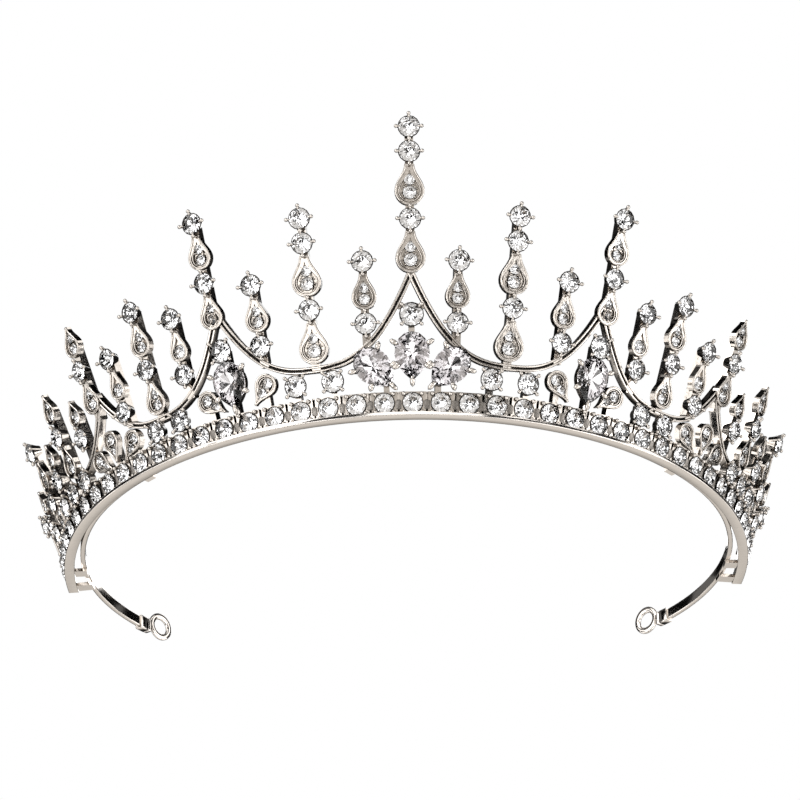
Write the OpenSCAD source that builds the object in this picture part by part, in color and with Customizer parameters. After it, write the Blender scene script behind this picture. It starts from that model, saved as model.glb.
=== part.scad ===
// Bridal tiara: a sprung headband, a stone-set rail, open swags and upright spires.
// The front faces -Y, +X is to the right seen from the front, and the rail rests on z = 0.

/* [Head ring] */
// Radius of the rail's row of stones across the front of the head
ring_r = 76; // [64:1:92]
// Radius of the same row where it tightens over the temples
temple_r = 70; // [60:1:84]
// Radius that the headband tightens to behind the ears, measured at the same row
ear_r = 57.5; // [46:0.5:68]
// Turn from the front at which the row tightens to the temple radius
temple_from = 45; // [35:1:50]
// Turn from the front at which the headband tightens to the ear radius
ear_from = 60; // [54:1:70]
// Turn from the front at which the headband ends
band_to = 128; // [115:1:140]

/* [Rail] */
// Distance between neighbouring stones in the rail
stone_pitch = 5.6; // [5.3:0.05:6.8]
// Stones in the rail on each side of the middle one
side_stones = 21; // [21:1:23]
// Diameter of a rail stone
rail_stone_d = 3.85; // [3:0.05:4.6]
// Height of the leaning strip behind the rail stones
rail_h = 4.6; // [4.2:0.1:5.6]
// Depth of the leaning strip behind the rail stones
rail_t = 1.1; // [1:0.1:1.5]
// Width of the flat plate under the rail
plate_w = 2.2; // [1.8:0.1:3]
// Thickness of the flat plate under the rail
plate_t = 0.8; // [0.6:0.1:1.2]

/* [Headband] */
// Thickness of the headband strip
band_t = 1.1; // [0.8:0.1:1.6]
// Height of the headband strip
band_h = 2.4; // [1.8:0.1:3.2]
// Height of the headband's lower edge above the rail's underside
band_z = 0.8; // [0.2:0.1:1.2]
// Diameter of the round loop at each end of the headband
loop_d = 6.4; // [5.6:0.1:8]
// Diameter of the hole in each end loop
loop_hole_d = 3.6; // [2.6:0.1:4.2]
// Thickness of each end loop
loop_t = 0.9; // [0.7:0.1:1.4]

/* [Crown] */
// Outward lean of the crown from the vertical
flare = 23.7; // [12:0.5:30]
// Width of a swag's ribbon
swag_w = 1.3; // [1:0.1:1.8]
// Depth of a swag's ribbon
swag_t = 1.8; // [1.4:0.1:2.4]
// Width of the bar behind each spire
bar_w = 1.7; // [1.2:0.1:2.2]
// Depth of the bar behind each spire
bar_t = 1.8; // [1.4:0.1:2.4]
// Thickness of a leaf setting
leaf_t = 1.3; // [1:0.1:1.8]

/* [Stones] */
// Diameter of a round stone in the spires
spire_stone_d = 4.1; // [3.4:0.05:4.9]
// Diameter of a round stone under the swags
filler_stone_d = 4.2; // [3.4:0.05:5]
// Diameter of the round stone above each large drop
top_stone_d = 4.5; // [3.6:0.05:5]
// Diameter of the larger of the two small stones in a leaf
pave_large_d = 2.6; // [2.1:0.05:3]
// Diameter of the smaller of the two small stones in a leaf
pave_small_d = 2.1; // [1.7:0.05:2.3]
// Width of a large drop stone
drop_w = 7; // [6:0.1:8]
// Length of a large drop stone
drop_l = 9.8; // [9:0.1:11.4]
// Gap between a stone and the metal that it sits in
seat_gap = 0.03; // [0.02:0.01:0.06]

/* [Hidden] */
$fn = 32;
METAL = "#cbc4bb";
GEM = "#e6ecf4";

// Depths are measured outwards from the girdles of the stones.
back = -2.8;
swag_front = back + swag_t + 0.2;
rail_face = -0.7;
leaf_front = -0.6;
leaf_rim = 0.55;
leaf_recess = 0.7;
claw_r = 0.28;
tip_r = 0.4;
prong_r = 0.34;
bead_r = 0.42;

// The rail's row of stones sits just above the plate.
rail_low = -rail_h / 2 - 0.05;
rail_top = rail_low + rail_h;
row_z = plate_t * 0.6 - rail_low * cos(flare);
plate_out = rail_low * sin(flare) + 0.75;
plate_in = plate_out - plate_w;
rail_run = (side_stones + 0.55) * stone_pitch;

// Headband: its outer face follows the plate's inner edge until it tightens.
band_out = plate_in - 0.02;
band_mid = band_out - band_t / 2;

// Centres of the three arcs that the row and the headband follow on one side
function toward(a) = [sin(a), -cos(a)];
temple_c = (ring_r - temple_r) * toward(temple_from);
ear_c = temple_c + (temple_r - ear_r) * toward(ear_from);

// Swags: [from, to, lowest place, lowest height, height at from, height at to], with places counted in
// stones from the middle
inner_swag = [0, 6.6, 3.4, 8, 26, 24];
middle_swag = [6.6, 12.3, 9.6, 6.5, 22, 18];
outer_swag = [12.3, 17.8, 15.2, 5.2, 15.4, 14];
end_swag = [17.8, 20.9, 20.9, 2.6, 13, 2.6];
swags = [inner_swag, middle_swag, outer_swag, end_swag];

// Spires on one side: [place in stones, height of the lowest setting, settings from the bottom up].
// R is a round stone, P a large leaf, Q a leaf, q a one-stone leaf, M a pointed leaf and m a one-stone
// pointed leaf.
centre_spire = [0, 29.2, "PRPRR"];
spires = [
    [1.5, 16, "RQR"], [3.3, 12.4, "PRPRR"], [5.1, 14.4, "RQR"], [6.65, 22.9, "QRQR"],
    [8.1, 13.1, "RqR"], [9.55, 10.3, "QRQR"], [11.05, 11.2, "RqR"], [12.5, 17.4, "QRM"],
    [13.65, 11.9, "Rm"], [15.1, 9.8, "QRM"], [16.35, 9.9, "Rm"], [17.75, 8.9, "RQR"],
    [19.25, 7.7, "Rm"], [20.4, 4.9, "qR"]
];

// Leaves under the swags on one side: [place, height, lean of the point from straight down]
leaves = [
    [5.2, 6.3, 38], [7.4, 6, -50], [11.15, 4.9, 48], [12.2, 7, 0], [13.1, 4.9, -48], [17.75, 5.2, 0]
];
// Round stones under the swags on one side: [place, height above the rail's stones]
filler_rises = [
    [2.75, 3.2], [4.07, 3.2], [8.72, 2.6], [9.85, 2.4], [14.4, 2.3], [15.5, 2.3], [16.6, 2.4], [18.75, 2.3]
];
fillers = [for (f = filler_rises) [f[0], f[1] + rail_stone_d / 2]];
centre_drop = [0, 9.2, 0];
side_drop = [0.18 * drop_w, 6.92, -43];
peak_drop = [6.42, 13.05 - drop_l / 2, -4];
centre_top = [0, 17.5];
peak_top = [6.55, 15.3];

// Places of the lugs that join the headband to the rail, in stones from the middle
lug_places = [11, 19.9, 21.2];

// Middle of the whole piece, front to back: the crown's foremost stone and the headband's last loop
spire_top = reach(centre_spire[1], centre_spire[2], 4);
front_reach = ring_r + (spire_top + spire_stone_d / 2) * sin(flare) + cos(flare);
loop_turn = band_to + 4.5;
loop_c = ear_c + (ear_r + band_mid) * toward(loop_turn);
back_reach = loop_c.y + loop_d / 2 * sin(loop_turn);
ring_y = (front_reach - back_reach) / 2;

SIDES = ["left", "right"];
WAYS = [-1, 1];
SWAG_NAMES = ["inner", "middle", "outer", "end"];

// --- Places on the crown -------------------------------------------------

// Turn from the front after a run along the row of stones
function turn(run) =
    let (front = ring_r * temple_from * PI / 180)
    abs(run) <= front ? run / ring_r * 180 / PI
                      : sign(run) * (temple_from + (abs(run) - front) / temple_r * 180 / PI);
function on_temple(run) = abs(turn(run)) > temple_from;
function arc_c(run) = on_temple(run) ? [sign(run) * temple_c.x, temple_c.y] : [0, 0];
function arc_r(run) = on_temple(run) ? temple_r : ring_r;

// A point of the crown: run along the row, height up the leaning face, depth outwards
function crown_point(run, up, out) =
    let (c = arc_c(run), a = turn(run), r = arc_r(run) + up * sin(flare) + out * cos(flare))
    [c.x + r * sin(a), c.y - r * cos(a), row_z + up * cos(flare) - out * sin(flare)];

// Stands its children on the crown's face: x along the row, y up the face, z outwards
module on_crown(place, up) {
    run = place * stone_pitch;
    translate([arc_c(run).x, arc_c(run).y, row_z])
        rotate([0, 0, turn(run)])
            translate([0, -arc_r(run), 0])
                rotate([90 + flare, 0, 0])
                    translate([0, up, 0])
                        children();
}

module in_place() {
    translate([0, ring_y, 0]) children();
}

// Height of the swags' middle line at a place
function swag_shape(u) = 0.8 * pow(u, 3) + 0.2 * pow(u, 2);
function swag_up(s, place) =
    place <= s[2]
        ? s[3] + (s[4] - s[3]) * swag_shape((s[2] - place) / max(0.01, s[2] - s[0]))
        : s[3] + (s[5] - s[3]) * swag_shape((place - s[2]) / max(0.01, s[1] - s[2]));
// Places on the inner swag's inner half, listed by height
swag_places = [for (i = [0:12]) let (p = swags[0][2] * (1 - i / 12)) [swag_up(swags[0], p), p]];
function swag_at(place) =
    let (over = [for (s = swags) if (place >= s[0] && place <= s[1]) swag_up(s, place)])
    len(over) == 0 ? rail_top : min(over);

// --- Small parts ---------------------------------------------------------

function half(k) =  // reach below and above a setting's centre
    k == "R" ? [2.5, 2.5] : k == "P" ? [3.6, 4.9] : k == "Q" ? [3.2, 4.2]
    : k == "q" ? [2.7, 4] : k == "M" ? [3.4, 4.2] : [2.8, 3.4];
function leaf_size(k) =  // half width, and half width of the neck
    k == "P" ? [3, 1] : k == "Q" ? [2.5, 0.85] : k == "q" ? [2.1, 0.8]
    : k == "M" ? [2.3, 0.12] : [2.05, 0.12];
function leaf_stones(k) =  // [height, diameter] of each small stone
    k == "P" ? [[-0.7, pave_large_d], [1.85, pave_small_d]]
    : k == "q" || k == "m" ? [[-0.3, pave_large_d]]
    : [[-0.75, pave_small_d], [1.55, pave_small_d]];

// Height of setting i in a stack whose lowest setting is at up
function reach(up, kinds, i) =
    i == 0 ? up : reach(up, kinds, i - 1) + half(kinds[i - 1])[1] + half(kinds[i])[0];

// A drop outline: round below with radius b, drawn in to a neck of half width n at height tall
function drop_side(b, n, tall, steps) =
    [for (i = [0:steps]) [n + (b - n) * (0.5 + 0.5 * cos(180 * i / steps)), tall * i / steps]];
function drop_outline(b, n, tall) =
    let (side = drop_side(b, n, tall, 9), low = [for (a = [-165:15:-15]) b * [cos(a), sin(a)]])
    concat(low, side, [for (i = [len(side) - 1:-1:0]) [-side[i].x, side[i].y]]);

// A cut drop's outline: half an ellipse at the round end, then sides that bow in to a blunt point
function gem_round(w) = 0.6 * w;
function gem_side(w, l, steps) =
    [for (i = [0:steps]) let (t = i / steps) [w / 2 * (1 - t * t), (l - gem_round(w)) * t]];
function gem_outline(w, l) =
    let (side = gem_side(w, l, 8), low = [for (a = [-165:15:-15]) [w / 2 * cos(a), gem_round(w) * sin(a)]])
    concat(low, side, [for (i = [len(side) - 2:-1:0]) [-side[i].x, side[i].y]]);

module strut(a, b, r) {
    v = b - a;
    translate(a) rotate([0, acos(v.z / norm(v)), atan2(v.y, v.x)]) cylinder(h = norm(v), r = r, $fn = 16);
}

// A claw from the setting's foot to a ball beside the stone's girdle
module claw(turned, girdle_r) {
    rotate([0, 0, turned]) {
        strut([girdle_r * 0.55, 0, -2.1], [girdle_r + 0.5, 0, 0.25], claw_r);
        translate([girdle_r + 0.52, 0, 0.3]) sphere(r = tip_r, $fn = 16);
    }
}

// Round brilliant: flat table, sloped crown, thin girdle, pointed pavilion. grow makes the seat's copy.
module round_stone(d, grow = 0) {
    r = d / 2 + grow;
    rotate_extrude()
        polygon([[0, -0.42 * d - 1.4 * grow], [r, -0.03 * d - grow], [r, 0.02 * d + grow],
                 [0.6 * r, 0.15 * d + grow], [0, 0.15 * d + grow]]);
}

// Cup with four claws, before the stone's seat is cut
module round_seat(d, turned = 0) {
    translate([0, 0, back + 0.4]) cylinder(h = -back - 0.4 - 0.12 * d, r1 = 0.3 * d, r2 = 0.46 * d);
    for (a = [0:90:270]) claw(a + turned, d / 2);
}

module leaf_body(k) {
    b = leaf_size(k)[0];
    tall = half(k)[1] + 0.4;
    difference() {
        translate([0, -0.4, leaf_front - leaf_t]) linear_extrude(leaf_t)
            polygon(drop_outline(b, leaf_size(k)[1], tall));
        translate([0, -0.4, leaf_front - leaf_recess]) linear_extrude(leaf_recess + 1)
            polygon(drop_outline(b - leaf_rim, 0.1, tall - 1.3));
    }
}

module leaf_stone_set(k, d) {
    for (s = leaf_stones(k)) if (s[1] == d) translate([0, s[0], leaf_front - 0.2]) round_stone(d);
}

// What is cut from a setting and its bar for the stones
module seats(k) {
    if (k == "R") round_stone(spire_stone_d, seat_gap);
    else for (s = leaf_stones(k)) translate([0, s[0], leaf_front - 0.2]) round_stone(s[1], seat_gap);
}

module bar(low, high, w = bar_w) {
    translate([-w / 2, low, back]) cube([w, high - low, bar_t]);
}

// --- Spires --------------------------------------------------------------

module setting(k) {
    if (k == "R") round_seat(spire_stone_d);
    else leaf_body(k);
}

module spire(s) {
    last = len(s[2]) - 1;
    foot = min(s[1], swag_at(s[0]) - swag_w / 2);
    color(METAL) difference() {
        union() {
            on_crown(s[0], 0) bar(foot, reach(s[1], s[2], last));
            for (i = [0:last]) on_crown(s[0], reach(s[1], s[2], i)) setting(s[2][i]);
        }
        for (i = [0:last]) on_crown(s[0], reach(s[1], s[2], i)) seats(s[2][i]);
    }
}

module each_spire_setting(kinds) {
    for (s = concat([centre_spire], spires), way = s[0] == 0 ? [1] : WAYS, i = [0:len(s[2]) - 1])
        if (len(search(s[2][i], kinds)) > 0) {
            $kind = s[2][i];
            on_crown(way * s[0], reach(s[1], s[2], i)) children();
        }
}

module spire_round_stones() {
    color(GEM) each_spire_setting("R") round_stone(spire_stone_d);
}

module pave_stones(d) {
    color(GEM) {
        each_spire_setting("PQqMm") leaf_stone_set($kind, d);
        for (l = leaves, way = WAYS)
            on_crown(way * l[0], l[1]) rotate([0, 0, 180 + way * l[2]]) leaf_stone_set("M", d);
    }
}

// --- Settings under the swags --------------------------------------------

module post(place, low, high) {
    on_crown(place, 0) bar(low, high, bar_w * 0.7);
}

module filler_settings() {
    color(METAL) for (f = fillers, way = WAYS) difference() {
        union() {
            post(way * f[0], rail_top - 0.3, max(f[1], swag_at(f[0]) - swag_w / 2));
            on_crown(way * f[0], f[1]) round_seat(filler_stone_d, 45);
        }
        on_crown(way * f[0], f[1]) round_stone(filler_stone_d, seat_gap);
    }
}

module filler_stones() {
    color(GEM) for (f = fillers, way = WAYS) on_crown(way * f[0], f[1]) round_stone(filler_stone_d);
}

module leaf_settings() {
    color(METAL) for (l = leaves, way = WAYS) difference() {
        union() {
            post(way * l[0], rail_top - 0.3, l[1]);
            on_crown(way * l[0], l[1]) rotate([0, 0, 180 + way * l[2]]) leaf_body("M");
        }
        on_crown(way * l[0], l[1]) rotate([0, 0, 180 + way * l[2]]) seats("M");
    }
}

// The drop's point is below: its outline is turned over. It has a flat table, a thin girdle and a
// pavilion that narrows to the back.
module drop_stone(grow = 0) {
    girdle = 0.3;
    crown = 0.8;
    pavilion = 1.9;
    outline = gem_outline(drop_w + 2 * grow, drop_l + 2 * grow);
    rotate([0, 0, 180]) translate([0, gem_round(drop_w) - drop_l / 2, 0]) {
        translate([0, 0, -girdle / 2 - grow]) linear_extrude(girdle + 2 * grow) polygon(outline);
        translate([0, 0, girdle / 2 - 0.01]) linear_extrude(crown + grow, scale = 0.62) polygon(outline);
        mirror([0, 0, 1]) translate([0, 0, girdle / 2 - 0.01])
            linear_extrude(pavilion + grow, scale = 0.12) polygon(outline);
    }
}

module drop_claw(p) {
    foot = [p.x * 0.72, p.y * 0.72, back + 1];
    strut(foot, [p.x, p.y, 0.35], claw_r * 1.2);
    translate([p.x, p.y, 0.4]) sphere(r = tip_r * 1.15, $fn = 16);
}

module drop_seat() {
    gallery = 0.6;
    edge = drop_w / 2 + 0.45;
    low_w = drop_w - 1;
    low_l = drop_l - 1.4;
    middle = gem_round(drop_w) - drop_l / 2;
    rotate([0, 0, 180]) translate([0, middle, back + 0.4]) linear_extrude(1.1) difference() {
        polygon(gem_outline(low_w, low_l));
        polygon(gem_outline(low_w - 2 * gallery, low_l - 2.6 * gallery));
    }
    for (x = [-1, 1]) {
        drop_claw([x * edge * 0.94, drop_l / 2 - 2.2]);
        drop_claw([x * edge * 0.84, -0.2 * drop_l]);
    }
    drop_claw([0, -drop_l / 2 - 0.3]);
}

module at_drop(drop, way) {
    on_crown(way * drop[0], drop[1]) rotate([0, 0, way * drop[2]]) children();
}

// A large drop with a round stone above it, on one post; the children carry it
module topped_drop(drop, top, way) {
    color(METAL) difference() {
        union() {
            at_drop(drop, way) drop_seat();
            post(way * top[0], drop[1], top[1]);
            on_crown(way * top[0], top[1]) round_seat(top_stone_d, 45);
            children();
        }
        on_crown(way * top[0], top[1]) round_stone(top_stone_d, seat_gap);
        at_drop(drop, way) drop_stone(seat_gap);
    }
}

// Hangs between the inner swags on a tie
module centre_drop_setting() {
    tie_up = centre_top[1] + 1.8;
    tie_x = stone_pitch * lookup(tie_up, swag_places);
    topped_drop(centre_drop, centre_top, 1)
        on_crown(0, 0) translate([-tie_x, tie_up - 0.5, back + 0.2]) cube([2 * tie_x, 1, 1.2]);
}

// Stands on the rail
module peak_drop_setting(way) {
    topped_drop(peak_drop, peak_top, way) post(way * peak_drop[0], rail_top - 0.3, peak_top[1]);
}

// Leans away from a short post at its point
module side_drop_setting(way) {
    foot = side_drop[0] + drop_l * 0.3 * sin(side_drop[2]) / stone_pitch;
    color(METAL) difference() {
        union() {
            at_drop(side_drop, way) drop_seat();
            post(way * foot, rail_top - 0.3, side_drop[1] - drop_l * 0.22);
        }
        at_drop(side_drop, way) drop_stone(seat_gap);
    }
}

module drop_stones(drop, ways) {
    color(GEM) for (way = ways) at_drop(drop, way) drop_stone();
}

module top_round_stones() {
    color(GEM) {
        on_crown(centre_top[0], centre_top[1]) round_stone(top_stone_d);
        for (way = WAYS) on_crown(way * peak_top[0], peak_top[1]) round_stone(top_stone_d);
    }
}

// --- Swags ---------------------------------------------------------------

swag_steps = 22;

// Two ribs with a groove between them
swag_profile = [
    [-swag_w / 2, back], [swag_w / 2, back], [swag_w / 2, swag_front], [swag_w * 0.16, swag_front],
    [swag_w * 0.16, swag_front - 0.4], [-swag_w * 0.16, swag_front - 0.4],
    [-swag_w * 0.16, swag_front], [-swag_w / 2, swag_front]
];

// Points crowd together where the swag is steep
function swag_place(s, t) =
    let (u = t < 0.5 ? 1 - pow(1 - 2 * t, 0.7) : 1 + pow(2 * t - 1, 0.7))
    s[1] == s[2] ? s[0] + (s[1] - s[0]) * (1 - pow(1 - t, 0.7))
        : u < 1 ? s[0] + (s[2] - s[0]) * u : s[2] + (s[1] - s[2]) * (u - 1);

module swag(s, way) {
    path = [for (i = [0:swag_steps]) let (p = swag_place(s, i / swag_steps))
        [way * p * stone_pitch, swag_up(s, p)]];
    across = [for (i = [0:swag_steps])
        let (d = path[min(i + 1, swag_steps)] - path[max(i - 1, 0)]) [-d.y, d.x] / norm(d)];
    n = len(swag_profile);
    rings = [for (i = [0:swag_steps], q = swag_profile)
        crown_point(path[i].x + across[i].x * q.x, path[i].y + across[i].y * q.x, q.y)];
    walls = [for (i = [0:swag_steps - 1], j = [0:n - 1])
        let (a = i * n + j, b = i * n + (j + 1) % n) way > 0 ? [a, b, b + n, a + n] : [a + n, b + n, b, a]];
    first = [for (j = [0:n - 1]) way > 0 ? n - 1 - j : j];
    last = [for (j = [0:n - 1]) swag_steps * n + (way > 0 ? j : n - 1 - j)];
    color(METAL) polyhedron(points = rings, faces = concat(walls, [first, last]));
}

// --- Rail ----------------------------------------------------------------

// Carries a profile of distances from the row and heights through stations of [centre, radius, turn]
module sweep(profile, stations) {
    n = len(profile);
    last = len(stations) - 1;
    rings = [for (s = stations, q = profile)
        let (p = s[0] + (s[1] + q.x) * toward(s[2])) [p.x, p.y, q.y]];
    walls = [for (i = [0:last - 1], j = [0:n - 1])
        let (a = i * n + j, b = i * n + (j + 1) % n) [a, b, b + n, a + n]];
    caps = [[for (j = [0:n - 1]) n - 1 - j], [for (j = [0:n - 1]) last * n + j]];
    polyhedron(points = rings, faces = concat(walls, caps));
}

// Runs on the positive side at which the rail turns from one stone to the next
half_places = [for (i = [0:side_stones - 1]) (i + 0.5) * stone_pitch];
rail_runs = concat([-rail_run], [for (i = [side_stones - 1:-1:0]) -half_places[i]], half_places, [rail_run]);

// Profile point on the leaning strip, from its height up the face and depth
function leaning(up, out) = [up * sin(flare) + out * cos(flare), row_z + up * cos(flare) - out * sin(flare)];
function leaning_foot(out) = leaning((plate_t - row_z + out * sin(flare)) / cos(flare), out);

module each_rail_stone() {
    for (i = [-side_stones:side_stones]) on_crown(i, 0) children();
}

// Flat plate with the strip that leans outwards from it, sunk for the points of the stones
module rail_plate() {
    inner = leaning_foot(rail_face - rail_t);
    over = max(0, plate_in - inner.x);
    foot = over > 0 ? [[plate_in, plate_t + over / tan(flare)]] : [inner, [plate_in, plate_t]];
    outline = concat(
        [[plate_in, 0], [plate_out - 0.3, 0], [plate_out, 0.3], [plate_out, plate_t]],
        [leaning_foot(rail_face), leaning(rail_top, rail_face), leaning(rail_top, rail_face - rail_t)],
        foot
    );
    color(METAL) difference() {
        sweep(outline, [for (run = rail_runs) [arc_c(run), arc_r(run), turn(run)]]);
        each_rail_stone() round_stone(rail_stone_d, seat_gap);
    }
}

// Flat pad on the strip, a cup around the stone, and four beaded prongs
module rail_cup() {
    sag = stone_pitch * stone_pitch / 8 / ring_r;
    pad = [stone_pitch - 0.5, rail_h - 0.1, 0.4];
    rim = rail_stone_d / 2 + 0.2;
    prong = (rim + prong_r + 0.05) * sqrt(0.5);
    difference() {
        union() {
            translate([-pad.x / 2, rail_low + 0.05, rail_face - sag + 0.015]) cube(pad);
            translate([0, 0, rail_face]) cylinder(h = -rail_face - 0.1 * rail_stone_d, r = rim);
            for (x = [-1, 1], y = [-1, 1]) translate([x, y] * prong) {
                translate([0, 0, rail_face]) cylinder(h = 0.1 - rail_face, r = prong_r, $fn = 16);
                translate([0, 0, 0.1]) sphere(r = bead_r, $fn = 16);
            }
        }
        round_stone(rail_stone_d, seat_gap);
    }
}

module rail_settings() {
    color(METAL) each_rail_stone() rail_cup();
}

module rail_stones() {
    color(GEM) each_rail_stone() round_stone(rail_stone_d);
}

// --- Headband ------------------------------------------------------------

// Turns on the positive side: as the rail's as far as it goes, then even steps to the headband's end
arm_steps = 9;
rail_turns = [for (run = half_places) turn(run)];
arm_from = rail_turns[side_stones - 1];
arm_step = (band_to - arm_from) / arm_steps;
band_turns = concat(rail_turns, [for (i = [1:arm_steps]) arm_from + i * arm_step]);

function band_c(a) = abs(a) < temple_from ? [0, 0]
    : let (c = abs(a) < ear_from ? temple_c : ear_c) [sign(a) * c.x, c.y];
function band_r(a) = abs(a) < temple_from ? ring_r : abs(a) < ear_from ? temple_r : ear_r;

module headband() {
    soft = band_t * 0.25;
    low = band_z;
    high = band_z + band_h;
    inside = band_out - band_t;
    turns = concat([for (i = [len(band_turns) - 1:-1:0]) -band_turns[i]], band_turns);
    color(METAL) sweep(
        [[inside + soft, low], [band_out - soft, low], [band_out, low + soft], [band_out, high - soft],
         [band_out - soft, high], [inside + soft, high], [inside, high - soft], [inside, low + soft]],
        [for (a = turns) [band_c(a), band_r(a), a]]);
}

// Eyelet and folded clasp at the end of the strip, standing in the strip's own plane
module end_loop(way) {
    clasp = 3;
    wrap = 0.4;
    gap = 0.02;
    middle = ear_r + band_mid;
    loop_z = max(band_z + band_h / 2, loop_d / 2);
    tail = (loop_turn - band_to) * PI / 180 * middle;
    slot = [clasp * 1.2, band_t + 2 * gap, band_h + 2 * gap];
    end_cut = middle * sin(arm_step / 2) + gap;
    color(METAL) mirror([way > 0 ? 0 : 1, 0, 0])
        translate([ear_c.x, ear_c.y]) rotate([0, 0, loop_turn]) translate([0, -middle, 0])
            difference() {
                union() {
                    translate([0, loop_t / 2, loop_z]) rotate([90, 0, 0]) cylinder(h = loop_t, d = loop_d);
                    translate([-tail - clasp * 0.6, -band_t / 2 - wrap - 0.15, band_z - wrap])
                        cube([clasp, band_t + 2 * wrap + 0.3, band_h + 2 * wrap]);
                }
                translate([0, loop_t, loop_z]) rotate([90, 0, 0]) cylinder(h = 2 * loop_t, d = loop_hole_d);
                translate([0, middle, 0]) rotate([0, 0, band_to - arm_step / 2 - loop_turn])
                    translate([end_cut - slot.x, -middle * cos(arm_step / 2) - slot.y / 2, band_z - gap])
                        cube(slot);
            }
}

// Tabs from the rail's plate, lying under the headband
module band_lugs() {
    lug_w = 2.6;
    color(METAL) for (way = [-1, 1], place = lug_places) {
        run = way * place * stone_pitch;
        edge = arc_c(run) + (arc_r(run) + plate_in) * toward(turn(run));
        c = band_c(turn(run));
        v = edge - c;
        inside = band_r(turn(run)) + band_out - band_t;
        translate([c.x, c.y, 0.05]) rotate([0, 0, atan2(v.y, v.x)])
            translate([inside, -lug_w / 2, 0]) cube([norm(v) - 0.06 - inside, lug_w, band_z - 0.06]);
    }
}

// --- Assembly ------------------------------------------------------------

in_place() {
    headband();
    for (w = [0, 1]) end_loop(WAYS[w]);
    band_lugs();
    rail_plate();
    rail_settings();
    rail_stones();
    for (i = [0:3], w = [0, 1])
        swag(swags[i], WAYS[w]);
    spire(centre_spire);  // spire_centre
    for (i = [1:len(spires)], w = [0, 1])
        mirror([w == 0 ? 1 : 0, 0, 0]) spire(spires[i - 1]);
    spire_round_stones();
    pave_stones(pave_large_d);  // pave_stones_large
    pave_stones(pave_small_d);  // pave_stones_small
    centre_drop_setting();
    drop_stones(centre_drop, [1]);  // centre_drop_stone
    for (w = [0, 1]) {
        side_drop_setting(WAYS[w]);
        peak_drop_setting(WAYS[w]);
    }
    drop_stones(side_drop, WAYS);  // side_drop_stones
    drop_stones(peak_drop, WAYS);  // peak_drop_stones
    top_round_stones();
    filler_settings();
    filler_stones();
    leaf_settings();
}
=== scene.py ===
import math

import bpy
import numpy as np
from mathutils import Matrix, Vector


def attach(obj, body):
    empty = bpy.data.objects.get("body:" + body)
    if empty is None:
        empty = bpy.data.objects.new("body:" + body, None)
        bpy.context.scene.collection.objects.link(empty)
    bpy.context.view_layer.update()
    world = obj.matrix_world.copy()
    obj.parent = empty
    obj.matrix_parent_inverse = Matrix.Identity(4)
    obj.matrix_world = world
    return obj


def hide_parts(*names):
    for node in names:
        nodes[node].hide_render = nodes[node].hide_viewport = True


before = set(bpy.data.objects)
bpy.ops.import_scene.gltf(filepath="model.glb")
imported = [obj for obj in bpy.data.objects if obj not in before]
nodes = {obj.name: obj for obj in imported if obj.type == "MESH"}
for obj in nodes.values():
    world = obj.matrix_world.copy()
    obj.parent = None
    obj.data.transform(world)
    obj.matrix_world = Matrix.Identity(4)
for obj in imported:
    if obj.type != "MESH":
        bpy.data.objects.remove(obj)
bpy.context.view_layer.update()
print("frame loaded:", len(nodes), "nodes")

# Layout shared with the part's design: lengths in millimetres, turns in degrees
layout = {
    "ringR": 76.0, "templeR": 70.0, "earR": 57.5,
    "templeFrom": 45.0, "earFrom": 60.0, "bandTo": 128.0,
    "pitch": 5.6, "sideStones": 21, "flare": 23.7,
    "rowZ": 2.63181, "ringY": 35.5884, "plateIn": -2.39458, "plateOut": -0.19458,
    "plateT": 0.8, "railTop": 2.25, "bandT": 1.1, "bandH": 2.4, "bandZ": 0.8, "back": -2.8,
    "leafFront": -0.6, "leafDrop": 0.4, "leafStoneIn": 0.2, "loopTurn": 132.5, "loopZ": 3.2,
}
stoneSizes = {"rail": 3.85, "spire": 4.1, "filler": 4.2, "top": 4.5, "leafLarge": 2.6, "leafSmall": 2.1}

# Each swag: start, end and lowest place in stones along the row, height there, heights at the start and end
swags = [
    [0, 6.6, 3.4, 8, 26, 24], [6.6, 12.3, 9.6, 6.5, 22, 18],
    [12.3, 17.8, 15.2, 5.2, 15.4, 14], [17.8, 20.9, 20.9, 2.6, 13, 2.6],
]
# Each spire: place in stones, height of its lowest setting, and its settings upwards. R is a round stone,
# P, Q and q are leaves from large to small, M and m are pointed leaves
spires = [
    [0, 29.2, "PRPRR"],
    [1.5, 16, "RQR"], [3.3, 12.4, "PRPRR"], [5.1, 14.4, "RQR"], [6.65, 22.9, "QRQR"],
    [8.1, 13.1, "RqR"], [9.55, 10.3, "QRQR"], [11.05, 11.2, "RqR"], [12.5, 17.4, "QRM"],
    [13.65, 11.9, "Rm"], [15.1, 9.8, "QRM"], [16.35, 9.9, "Rm"], [17.75, 8.9, "RQR"],
    [19.25, 7.7, "Rm"], [20.4, 4.9, "qR"],
]
# How far each kind reaches below and above its middle, and its leaf's half width at the round end and neck
halfReach = {"R": (2.5, 2.5), "P": (3.6, 4.9), "Q": (3.2, 4.2), "q": (2.7, 4), "M": (3.4, 4.2), "m": (2.8, 3.4)}
leafSize = {"P": (3, 1), "Q": (2.5, 0.85), "q": (2.1, 0.8), "M": (2.3, 0.12), "m": (2.05, 0.12)}
large, small = stoneSizes["leafLarge"], stoneSizes["leafSmall"]
leafStones = {  # height and size of each leaf's stones
    "P": [(-0.7, large), (1.85, small)], "Q": [(-0.75, small), (1.55, small)], "q": [(-0.3, large)],
    "M": [(-0.75, small), (1.55, small)], "m": [(-0.3, large)],
}
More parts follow.
